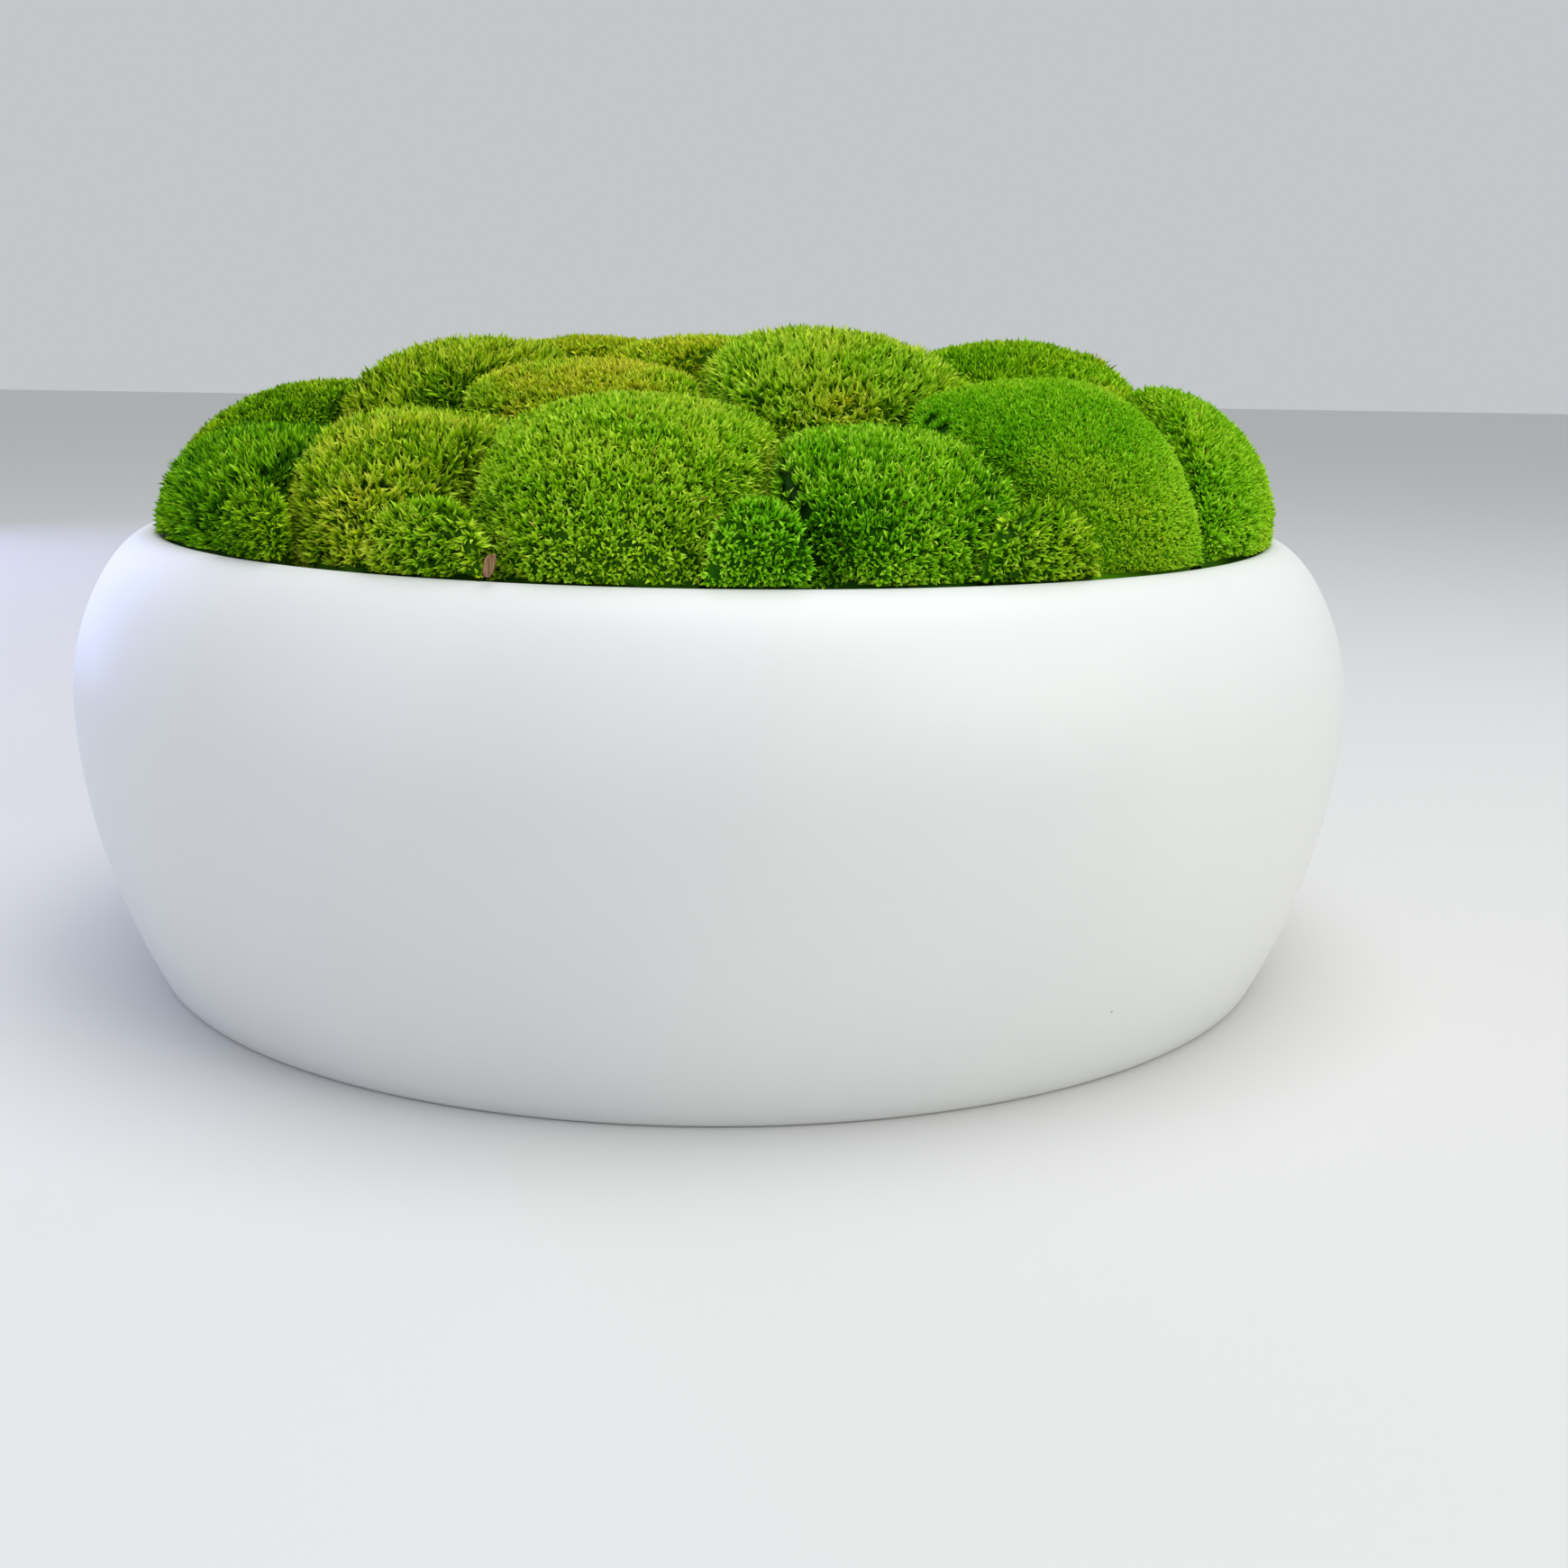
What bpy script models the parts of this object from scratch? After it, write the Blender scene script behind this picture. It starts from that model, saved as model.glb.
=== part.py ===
"""A mound of cushion moss in a wide white round bowl, in metres, +Z up.

The origin is the middle of the bowl's foot, on the surface that it stands on. -Y is the front.
The bowl and the fill are turned solids. Each cushion of moss is a pillow-shaped solid that
reaches to the tips of its leaves: it stays on its own side of the line to each neighbour,
inside the bowl's lip, and a little over the lip above that.
"""
import math

import bmesh
import bpy
from mathutils import Matrix, Vector

MM = 0.001
GAP = 0.3 * MM  # left between pieces that touch

# Bowl
RIM_RADIUS = 160 * MM  # at the crest of the lip
RIM_HEIGHT = 123.4 * MM
BELLY_RADIUS = 182.6 * MM  # at the widest place
BELLY_HEIGHT = 80.2 * MM
FOOT_RADIUS = 162.7 * MM
FOOT_CHAMFER = 1.2 * MM
WALL = 7 * MM
FLOOR = 9 * MM
FLOOR_CORNER = 14 * MM
SHOULDER_POWER = 1.7  # 2 is an ellipse; less is leaner
BOWL_SEGMENTS = 60
WALL_STEPS = 4
SHOULDER_STEPS = 6
LIP_STEPS = 3
LIP_RADIUS = WALL / 2
THROAT_RADIUS = RIM_RADIUS - LIP_RADIUS  # the narrowest place inside the lip
THROAT_CLEARANCE = 0.8 * MM
INSIDE_THROAT = THROAT_RADIUS - THROAT_CLEARANCE

# Fill under the moss, a low dome
FILL_CENTRE_HEIGHT = 127 * MM
FILL_EDGE_HEIGHT = 112 * MM
FILL_SEGMENTS = BOWL_SEGMENTS // 2
FILL_TOP_STEPS = 4
FILL_CLEARANCE_INSIDE = 2 * GAP
FILL_SHOULDER = math.radians(30)  # how far up the bowl's shoulder the fill follows it

# Moss
LIP_CLEARANCE = 1.0 * MM  # under the moss that lies over the lip
LIP_BULGE_HEIGHT = 9 * MM  # above the rim, where the moss is widest
FILL_CLEARANCE = 0.8 * MM  # under a cushion's middle and rim, and less between them
MOUND_HEIGHT = 179 * MM  # of the smooth dome that the cushions make together
MOUND_POWERS = (2.5, 0.8)
VALLEY_SHARE = 0.09  # depth of a valley below that dome, as a share of the way between crowns
CORNER = 14.0  # how closely a cushion's outline fills its corners
CROWN_POWER = 2.0  # how flat a cushion is on top
SIDE_POWER = 0.62  # 0.5 has upright sides, 1 has none
CROWN_RINGS = (0.30, 0.56, 0.78, 0.93)  # plan distance from the crown, as a share of the way out
LOWER_RINGS = 3  # from under the edge to the fill

# Each cushion in millimetres: its crown's x, y and height above the foot, the middle and the
# reach that share out the plan between neighbours, and its own swell past the lip's crest.
CUSHIONS = {
    "moss_far_left": (-116, 15, 163.5, -131, 18, 36, -1.0),
    "moss_front_left": (-119, -58, 152.5, -126, -74, 36, -2.0),
    "moss_front_left_dark": (-111, -105, 141, -114, -118, 25, 0.5),
    "moss_olive_left": (-82, -74, 158, -79, -96, 34, 0.5),
    "moss_front_long_leaved": (-62, -142, 141, -64, -128, 4, 0.5),
    "moss_front_big": (-22, -98, 163.5, -22, -112, 40, 0.5),
    "moss_front_lobe": (9, -149, 143, 17, -135, 10, 0.5),
    "moss_front_right": (37, -96, 156.5, 42, -120, 36, 0.5),
    "moss_front_right_yellow": (74, -133, 142, 74, -148, 26, 0.5),
    "moss_velvet_right": (88, -60, 168, 95, -90, 41, 0.5),
    "moss_far_right": (121, -28, 166, 146, -82, 43, 0.0),
    "moss_right_back": (129, 29, 160.5, 146, 46, 33, -1.0),
    "moss_back_left": (-69, 6, 176.5, -79, 4, 29, 0.0),
    "moss_olive_middle": (-36, -34, 171, -34, -34, 18, 0.0),
    "moss_back_middle_left": (-40, 44, 177.5, -38, 44, 28, 0.0),
    "moss_back_middle": (-4, 11, 178, -2, 10, 25, 0.0),
    "moss_top": (24, -18, 180.5, 25, -22, 26, 0.0),
    "moss_dark_behind_top": (46, 34, 179.5, 46, 36, 25, 0.0),
    "moss_back_right": (95, 37, 178, 92, 32, 38, 0.0),
    "moss_rear_far_left": (-108, 80, 159, -112, 86, 32, 0.5),
    "moss_rear_left": (-60, 108, 163, -60, 114, 31, 0.5),
    "moss_rear_middle": (0, 124, 161, 0, 130, 34, 0.5),
    "moss_rear_inner": (4, 72, 173, 4, 72, 28, 0.0),
    "moss_rear_right": (58, 106, 166, 60, 114, 31, 0.5),
    "moss_rear_far_right": (110, 90, 159, 120, 98, 33, 0.5),
}
OLIVE = ("moss_olive_left", "moss_olive_middle", "moss_back_middle_left", "moss_back_middle")
SMALL_REACH = 27.5 * MM  # a cushion under this has fewer faces
SEGMENTS = 20
SMALL_SEGMENTS = 14
AT_POLE = 1e-4  # on a ball of radius 1, what counts as its top or bottom point
FACING_AWAY = 1e-6

# Chip of bark between two cushions at the front
BARK_RADIUS = 162.2 * MM  # from the bowl's axis, just over the crest of the lip
BARK_BEARING = math.radians(-107.8)
BARK_HEIGHT = 127.2 * MM
BARK_HALF_SIZE = Vector((1.5, 0.8, 2.7)) * MM
BARK_SLANT = 0.25  # sideways lean of its grain
BARK_ROUNDING = 0.5  # bevel, as a share of its half size


def make_material(name, colour, roughness, metallic=0.0):
    material = bpy.data.materials.new(name)
    material.use_nodes = True
    shader = material.node_tree.nodes["Principled BSDF"]
    shader.inputs["Base Color"].default_value = (*colour, 1.0)
    shader.inputs["Roughness"].default_value = roughness
    shader.inputs["Metallic"].default_value = metallic
    return material


def add_object(name, mesh_maker, material):
    """Puts the finished bmesh in an object of its own."""
    mesh = bpy.data.meshes.new(name)
    mesh_maker.to_mesh(mesh)
    mesh_maker.free()
    mesh.shade_smooth()
    mesh.materials.append(material)
    thing = bpy.data.objects.new(name, mesh)
    bpy.context.scene.collection.objects.link(thing)
    return thing


def turn(profile, segments):
    """A solid turned about Z from (radius, height) points that start and end on the axis."""
    bm = bmesh.new()
    points = [bm.verts.new((radius, 0.0, height)) for radius, height in profile]
    edges = [bm.edges.new(pair) for pair in zip(points, points[1:])]
    bmesh.ops.spin(
        bm,
        geom=points + edges,
        cent=(0, 0, 0),
        axis=(0, 0, 1),
        angle=2 * math.pi,
        steps=segments,
        use_merge=True,
    )
    bmesh.ops.remove_doubles(bm, verts=bm.verts[:], dist=0.01 * MM)
    bmesh.ops.recalc_face_normals(bm, faces=bm.faces[:])
    return bm


def lower_wall(height):
    """Outer radius below the belly."""
    below = (BELLY_HEIGHT - height) / BELLY_HEIGHT
    return FOOT_RADIUS + (BELLY_RADIUS - FOOT_RADIUS) * (1 - below**2)


def shoulder(angle, inset=0.0):
    """A point of the shoulder, from the belly at 0 to the crest of the lip at a right angle."""
    out, rise = BELLY_RADIUS - RIM_RADIUS, RIM_HEIGHT - BELLY_HEIGHT
    power = 2 / SHOULDER_POWER
    across, up = math.cos(angle), math.sin(angle)
    radius = RIM_RADIUS + out * max(across, 0.0) ** power
    height = BELLY_HEIGHT + rise * up**power
    steepness = 2 * (1 - 1 / SHOULDER_POWER)
    normal = Vector((max(across, 0.0) ** steepness / out, up**steepness / rise)).normalized()
    return radius - inset * normal.x, height - inset * normal.y


def inner_radius(height):
    """Radius of the bowl's inside below the belly."""
    return lower_wall(height) - WALL


def bowl_profile():
    quarter = math.pi / 2
    points = [(0.0, 0.0), (FOOT_RADIUS - FOOT_CHAMFER, 0.0)]
    for step in range(WALL_STEPS):
        height = FOOT_CHAMFER + (BELLY_HEIGHT - FOOT_CHAMFER) * step / WALL_STEPS
        points.append((lower_wall(height), height))
    for step in range(SHOULDER_STEPS + 1):
        points.append(shoulder(quarter * step / SHOULDER_STEPS))
    for step in range(1, LIP_STEPS):
        angle = quarter + math.pi * step / LIP_STEPS
        radius = RIM_RADIUS + LIP_RADIUS * math.cos(angle)
        points.append((radius, RIM_HEIGHT - LIP_RADIUS + LIP_RADIUS * math.sin(angle)))
    for step in reversed(range(0, SHOULDER_STEPS + 1, 2)):
        points.append(shoulder(quarter * step / SHOULDER_STEPS, WALL))
    for height in (BELLY_HEIGHT / 2, FLOOR + FLOOR_CORNER):
        points.append((inner_radius(height), height))
    points.append((inner_radius(FLOOR) - FLOOR_CORNER, FLOOR))
    points.append((0.0, FLOOR))
    return points


def fill_top(radius):
    drop = FILL_CENTRE_HEIGHT - FILL_EDGE_HEIGHT
    return FILL_CENTRE_HEIGHT - drop * (radius / THROAT_RADIUS) ** 2


def fill_profile():
    """Follows the bowl's inside, one gap away from it."""
    points = [(0.0, FLOOR + GAP), (inner_radius(FLOOR) - FLOOR_CORNER - GAP, FLOOR + GAP)]
    for height in (FLOOR + FLOOR_CORNER, BELLY_HEIGHT / 2, BELLY_HEIGHT):
        points.append((inner_radius(height) - FILL_CLEARANCE_INSIDE, height))
    radius, height = shoulder(FILL_SHOULDER, WALL + FILL_CLEARANCE_INSIDE)
    points.append((radius - FILL_CLEARANCE_INSIDE, height))
    for step in reversed(range(FILL_TOP_STEPS + 1)):
        radius = INSIDE_THROAT * step / FILL_TOP_STEPS
        points.append((radius, fill_top(radius)))
    return points


def mound(place):
    """Height of the smooth dome over a place in the plan."""
    out, up = MOUND_POWERS
    lowest = RIM_HEIGHT + LIP_BULGE_HEIGHT
    share = max(1 - (place.length / RIM_RADIUS) ** out, 0.0) ** up
    return lowest + (MOUND_HEIGHT - lowest) * share


class Cushion:
    """One clump of moss, seen from its crown."""

    def __init__(self, name, x, y, height, middle_x, middle_y, reach, over_lip):
        self.name = name
        self.centre = Vector((x, y)) * MM
        self.crown = height * MM
        self.middle = Vector((middle_x, middle_y)) * MM
        self.reach = reach * MM
        self.over_lip = over_lip * MM

    def way_to(self, other, direction):
        """Distance from the crown to the line between two cushions, or None if it is behind."""
        apart = other.middle - self.middle
        distance = apart.length
        line = distance / 2 + (self.reach**2 - other.reach**2) / (2 * distance) - GAP
        line -= (self.centre - self.middle).dot(apart) / distance
        facing = direction.dot(apart) / distance
        return line / facing if facing > FACING_AWAY else None

    def way_to_ring(self, radius, direction):
        """Distance from the crown to a circle about the bowl's axis."""
        along = self.centre.dot(direction)
        return -along + math.sqrt(along**2 + radius**2 - self.centre.length_squared)

    def valley(self, other, place):
        """Height of the valley between two cushions, which falls away towards the lip."""
        dip = VALLEY_SHARE * (other.centre - self.centre).length
        height = min(self.crown, other.crown, mound(place)) - dip
        return max(height, RIM_HEIGHT + LIP_BULGE_HEIGHT)

    def edge(self, direction, others):
        """How far out the cushion reaches in this direction, and how high its edge lies."""
        ring = self.way_to_ring(RIM_RADIUS + self.over_lip, direction)
        limits = [(ring, RIM_HEIGHT + LIP_BULGE_HEIGHT)]
        for other in others:
            way = self.way_to(other, direction)
            if way is not None:
                limits.append((way, self.valley(other, self.centre + direction * way)))
        nearest = min(way for way, _ in limits)
        shares = [(nearest / way) ** CORNER for way, _ in limits]
        out = nearest * sum(shares) ** (-1 / CORNER)
        height = sum(share * rise for share, (_, rise) in zip(shares, limits)) / sum(shares)
        return out, height

    def held_in(self, place, radius):
        """The place, pulled straight towards the crown until it lies inside a ring."""
        if place.length <= radius:
            return place
        direction = (place - self.centre).normalized()
        return self.centre + direction * self.way_to_ring(radius, direction)

    def ring_point(self, ring, direction, edge_distance, edge_height):
        """A point of the surface. Rings run from the crown down to the underside."""
        if ring < len(CROWN_RINGS):
            share = CROWN_RINGS[ring]
            fall = 1 - (1 - share**CROWN_POWER) ** SIDE_POWER
            place = self.centre + direction * edge_distance * share
            return Vector((*place, self.crown - (self.crown - edge_height) * fall))
        place = self.centre + direction * edge_distance
        if ring == len(CROWN_RINGS):
            return Vector((*place, edge_height))
        below = ring - len(CROWN_RINGS)
        over_lip = place.length > INSIDE_THROAT
        inside = self.held_in(place, INSIDE_THROAT)
        floor = fill_top(inside.length) + FILL_CLEARANCE
        if below == LOWER_RINGS:
            return Vector((*inside, floor))
        if over_lip and below == 1:
            place = self.held_in(place, RIM_RADIUS - LIP_CLEARANCE)
            return Vector((*place, RIM_HEIGHT + LIP_CLEARANCE))
        if over_lip:
            return Vector((*inside, RIM_HEIGHT + LIP_CLEARANCE / 2))
        return Vector((*inside, edge_height + (floor - edge_height) * below / LOWER_RINGS))


def make_cushion(cushion, others, material):
    """A ball whose rings are pulled out to the cushion's crown, edge and underside."""
    segments = SMALL_SEGMENTS if cushion.reach < SMALL_REACH else SEGMENTS
    rings = len(CROWN_RINGS) + 1 + LOWER_RINGS
    bm = bmesh.new()
    bmesh.ops.create_uvsphere(bm, u_segments=segments, v_segments=rings + 1, radius=1.0)
    for vert in bm.verts:
        across = Vector(vert.co.xy)
        if across.length < AT_POLE:
            low = fill_top(cushion.centre.length) + FILL_CLEARANCE
            vert.co = (*cushion.centre, cushion.crown if vert.co.z > 0 else low)
            continue
        polar = math.acos(max(-1.0, min(1.0, vert.co.z)))
        ring = round(polar * (rings + 1) / math.pi) - 1
        direction = across.normalized()
        vert.co = cushion.ring_point(ring, direction, *cushion.edge(direction, others))
    bmesh.ops.recalc_face_normals(bm, faces=bm.faces[:])
    return add_object(cushion.name, bm, material)


def make_bark(material):
    """A flat chip that stands on the lip, against two cushions."""
    bm = bmesh.new()
    bmesh.ops.create_cube(bm, size=2.0)
    bmesh.ops.bevel(
        bm,
        geom=bm.edges[:],
        offset=BARK_ROUNDING,
        segments=1,
        profile=0.5,
        affect="EDGES",
        material=-1,
    )
    for vert in bm.verts:
        vert.co *= BARK_HALF_SIZE
        vert.co.x += BARK_SLANT * vert.co.z
    bmesh.ops.recalc_face_normals(bm, faces=bm.faces[:])
    chip = add_object("bark_chip", bm, material)
    around = Matrix.Rotation(BARK_BEARING, 3, "Z")
    chip.location = around @ Vector((BARK_RADIUS, 0, BARK_HEIGHT))
    chip.rotation_euler = (0, 0, BARK_BEARING + math.pi / 2)
    return chip


def build():
    for thing in list(bpy.data.objects):
        bpy.data.objects.remove(thing)
    white = make_material("bowl_lacquer", (0.82, 0.83, 0.82), 0.42)
    brown = make_material("fill_peat", (0.06, 0.04, 0.025), 0.95)
    green = make_material("moss_green", (0.10, 0.27, 0.02), 0.9)
    olive = make_material("moss_olive", (0.20, 0.25, 0.04), 0.9)
    tan = make_material("bark", (0.33, 0.2, 0.1), 0.85)
    add_object("bowl", turn(bowl_profile(), BOWL_SEGMENTS), white)
    add_object("fill", turn(fill_profile(), FILL_SEGMENTS), brown)
    cushions = [Cushion(name, *numbers) for name, numbers in CUSHIONS.items()]
    for cushion in cushions:
        others = [other for other in cushions if other is not cushion]
        make_cushion(cushion, others, olive if cushion.name in OLIVE else green)
    make_bark(tan)


build()
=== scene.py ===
"""The looks of a mound of cushion moss in a wide white round bowl, in metres, +Z up.

Each cushion is a bed a little inside its solid, painted dark as the shade deep among the shoots,
grown over with shoots of pointed leaves whose tips reach the solid's surface. The colours of the
leaves lie in one chart of tint by brightness, which each cushion's UV map points into. The
brightness holds painted shade, which darkens each leaf towards its root.
"""
import math
from collections import namedtuple

import bmesh
import bpy
import numpy as np
from mathutils import Matrix, Vector, noise
from mathutils.bvhtree import BVHTree


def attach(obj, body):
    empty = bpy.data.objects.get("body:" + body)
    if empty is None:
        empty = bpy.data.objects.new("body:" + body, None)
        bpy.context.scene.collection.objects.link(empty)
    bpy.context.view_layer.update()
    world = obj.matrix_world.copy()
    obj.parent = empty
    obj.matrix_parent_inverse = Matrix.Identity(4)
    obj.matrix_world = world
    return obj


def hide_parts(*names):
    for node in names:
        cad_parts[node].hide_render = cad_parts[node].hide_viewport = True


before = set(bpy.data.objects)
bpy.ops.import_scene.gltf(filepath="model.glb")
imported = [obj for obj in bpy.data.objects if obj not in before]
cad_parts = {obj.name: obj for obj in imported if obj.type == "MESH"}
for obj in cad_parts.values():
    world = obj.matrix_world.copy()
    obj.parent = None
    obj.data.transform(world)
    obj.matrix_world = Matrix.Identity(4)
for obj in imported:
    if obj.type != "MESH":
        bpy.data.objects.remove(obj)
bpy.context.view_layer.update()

MM = 0.001
QUARTER = math.pi / 2
WELD = 0.02 * MM  # corners of a CAD node's triangles that are closer than this are joined

# Bowl, as the CAD solid has it but with more steps
RIM_RADIUS = 160 * MM
RIM_HEIGHT = 123.4 * MM
BELLY_RADIUS = 182.6 * MM
BELLY_HEIGHT = 80.2 * MM
FOOT_RADIUS = 162.7 * MM
FOOT_CHAMFER = 1.2 * MM
FOOT_EDGE = 0.3 * MM
WALL = 7 * MM
FLOOR = 9 * MM
FLOOR_CORNER = 14 * MM
SHOULDER_POWER = 1.7
LIP_RADIUS = WALL / 2
INNER_EDGE = RIM_RADIUS - 2 * LIP_RADIUS  # radius at which the lip ends inwards
WALL_STEPS = 20
STEP_POWER = 0.8  # below 1, so that the shoulder's steps come closer together towards the lip
LIP_STEPS = 8
BOWL_SEGMENTS = 192
PROFILE_WELD = 0.001 * MM
SPECK = (94.5 * MM, -143.5 * MM, 22 * MM)  # a speck of dirt low on the front
SPECK_RADIUS = 0.38 * MM

# Surfaces of the fill and of the chip of bark
FILL_LUMP = 6 * MM
BARK_GRAIN = 0.9 * MM
BARK_STRETCH = 0.2  # how much slower the grain changes along the chip than across it

# Styles of moss: leaf length and width in millimetres, leaves in a shoot, spacing of the shoots
# in millimetres, spread of the leaves in degrees, how tousled the shoots are, unevenness of
# brightness, and brightness at the leaves' roots, a painted shade down between the leaves
Style = namedtuple("Style", "length width leaves spacing spread tousle uneven deep")
STYLES = {
    "velvet": Style(2.1, 0.56, 6, 1.10, 50, 0.14, 0.12, 0.24),
    "fine": Style(3.0, 0.85, 5, 1.50, 50, 0.30, 0.22, 0.05),
    "smooth": Style(3.0, 0.82, 5, 1.40, 50, 0.28, 0.14, 0.10),
    "fibrous": Style(3.1, 0.75, 6, 1.50, 46, 0.32, 0.20, 0.16),
    "soft": Style(3.2, 0.95, 5, 1.75, 50, 0.30, 0.12, 0.14),
    "dense": Style(3.1, 0.98, 5, 1.50, 56, 0.32, 0.28, 0.05),
    "curly": Style(3.8, 0.88, 5, 1.55, 46, 0.70, 0.28, 0.05),
    "coarse": Style(4.3, 1.10, 5, 1.75, 54, 0.55, 0.34, 0.05),
    "long": Style(4.7, 1.00, 5, 1.70, 42, 0.60, 0.32, 0.05),
    "bright": Style(4.4, 1.05, 5, 1.75, 46, 0.50, 0.32, 0.12),
    "hidden": Style(4.0, 1.05, 6, 2.60, 52, 0.35, 0.18, 0.05),
}

# Each cushion's style, tint and brightness. The tint goes from 0, bluish green, to OLIVE_TINT.
# The brightness is partly the moss's own tone and partly painted light: lower at the left end,
# higher on top and to the right, where more light falls.
CUSHIONS = {
    "moss_far_left": ("fine", 0.58, 0.62),
    "moss_front_left": ("long", 0.36, 0.60),
    "moss_front_left_dark": ("fine", 0.50, 0.62),
    "moss_olive_left": ("coarse", 0.66, 0.86),
    "moss_front_long_leaved": ("curly", 0.60, 1.02),
    "moss_front_big": ("dense", 0.53, 0.94),
    "moss_front_lobe": ("dense", 0.24, 0.92),
    "moss_front_right": ("dense", 0.34, 0.88),
    "moss_front_right_yellow": ("curly", 0.44, 0.90),
    "moss_velvet_right": ("velvet", 0.28, 0.82),
    "moss_far_right": ("smooth", 0.44, 0.86),
    "moss_right_back": ("hidden", 0.46, 1.02),
    "moss_back_left": ("long", 0.72, 0.92),
    "moss_olive_middle": ("fibrous", 0.86, 1.14),
    "moss_back_middle_left": ("soft", 0.80, 0.84),
    "moss_back_middle": ("soft", 0.76, 0.90),
    "moss_top": ("bright", 0.62, 1.20),
    "moss_dark_behind_top": ("soft", 0.72, 0.58),
    "moss_back_right": ("soft", 0.52, 0.70),
    "moss_rear_far_left": ("hidden", 0.46, 0.82),
    "moss_rear_left": ("hidden", 0.62, 0.82),
    "moss_rear_middle": ("hidden", 0.36, 0.82),
    "moss_rear_inner": ("hidden", 0.56, 0.85),
    "moss_rear_right": ("hidden", 0.48, 0.82),
    "moss_rear_far_right": ("hidden", 0.34, 0.82),
}
OLIVE = ("moss_olive_left", "moss_olive_middle", "moss_back_middle_left", "moss_back_middle")

# Places whose leaves are given another tint, brightness or length than the rest of their cushion:
# x, y, z and radius in millimetres, then what is added to the tint, to the brightness and, as a
# share, to the leaves' length
PATCHES = (
    (39, -61, 160, 11, 0.14, 0.10, 0.0),
    (33, -63, 157, 8, 0.10, 0.10, 0.0),
    (101, -121, 133, 36, 0.30, 0.16, 0.0),
    (61, -89, 157, 24, -0.08, -0.08, 0.0),
    (131, -93, 130, 32, -0.05, 0.15, 0.0),
    (-68, -46, 158, 15, -0.30, -0.20, 0.0),
    (-5, -52, 165, 15, -0.22, -0.10, 0.0),
    (-97, -118, 130, 26, 0.06, 0.08, 0.0),
    (27, -152, 133, 24, -0.10, -0.14, 0.0),
    (-22, -98, 163, 42, 0.06, 0.10, 0.0),
    (51, 22, 178, 15, 0.14, 0.22, 0.0),
    (116, 24, 169, 8, 0.45, 0.0, 0.9),
    (112, -14, 163, 10, 0.26, 0.05, 0.5),
    (-86, -127, 131, 26, 0.04, 0.0, 0.0),
    (88, -60, 168, 26, 0.20, 0.04, 0.0),
    (114, -8, 168, 20, 0.0, 0.20, 0.0),
)
PATCH_EDGE = 1.2  # of its radius, at which a patch has faded out

# Splits between cushions, where no leaf grows and the bed is painted darker as shade: x, y, z and
# radius in millimetres
SPLITS = (
    (12, -115, 149.8, 4.6),
    (13, -123, 148, 4.6),
    (14, -131, 146, 4.6),
    (15.5, -138, 143, 4.2),
    (17.8, -144, 139.5, 4.2),
    (20, -152, 135, 4.4),
    (22, -152, 128, 4.2),
    (54.5, -74, 158, 3.2),
    (56, -82.5, 156, 3.1),
    (61, -104.5, 152.5, 3.9),
    (63, -112.5, 150.2, 4.3),
    (65.5, -118.5, 148, 4.1),
    (-54.6, -111, 151.3, 3.4),
)

# The bed of a cushion
BED_DEPTH = 0.72  # below the solid's surface, as a share of the leaves' length
SHALLOWER_AT_LIP = 0.45
BED_LUMP = 7 * MM
BED_UNEVENNESS = 0.2
LIP_BAND = 14 * MM  # height over which moss that lies on the lip turns into upright moss
BEHIND_LIP_RADIUS = 150 * MM  # moss below the rim and further out than this is out of sight
# The bed's brightness in the chart, a painted shade deep among the shoots
BED_SHADE = (0.12, 0.22)
BED_SHARE_OF_DEEP = 0.6  # of a style's brightness at the roots, the painted shade between the leaves, that the bed gets too
BED_TINT_SPREAD = 0.05
SPLIT_SHADE = 0.15  # painted shade: how bright the bed is in a split, against the rest of it
SPLIT_SHADE_MARGIN = 2.0  # millimetres that this painted shade reaches past the split

# Shoots and leaves
SHOOT_TRIES = 5  # random places for each square of the spacing, of which one grows
RAY_START = 1.0 * MM  # above the bed
RAY_LENGTH = 0.3
RAY_HEIGHTS = (0.2, 0.5, 0.9)  # how steeply the rays rise that look for light
RAY_LOWEST = -0.2  # against the surface, below which a ray would start into the bed
GOLDEN_ANGLE = math.radians(137.5)  # turn from one leaf of a shoot to the next
LEAN_SEED = 1  # of the noise that leans the shoots, which else starts from the clock
LEAN_SIZE = 14 * MM  # size of the tufts that lean the same way
SHAKE = 0.35  # random part of a shoot's lean and of a leaf's twist
STEADIER_AT_LIP = 0.4
SHORTER_AT_LIP = 0.25
LOWEST_FACING = -0.1
UPWARD_LEAN = (0, 0, 0.2)
LIP_CLEARANCE = 0.3 * MM
TURN_SPREAD = 0.3

# Random ranges, as shares of the style's values or of the leaf's length
SHOOT_LENGTHS = (0.85, 1.12)
LEAF_LENGTHS = (0.75, 1.1)
LEAF_WIDTHS = (0.8, 1.15)
LOWER_ANGLES = (0.6, 1.3)
UPPER_ANGLES = (0.5, 1.4)
ROOT_RISES = (-0.2, 0.1)

# Angles of the inner leaves' halves, and what the outer leaves add, as shares of the spread
INNER_ANGLE = 0.1
OUTER_LOWER = 0.75
OUTER_UPPER = 1.1

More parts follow.
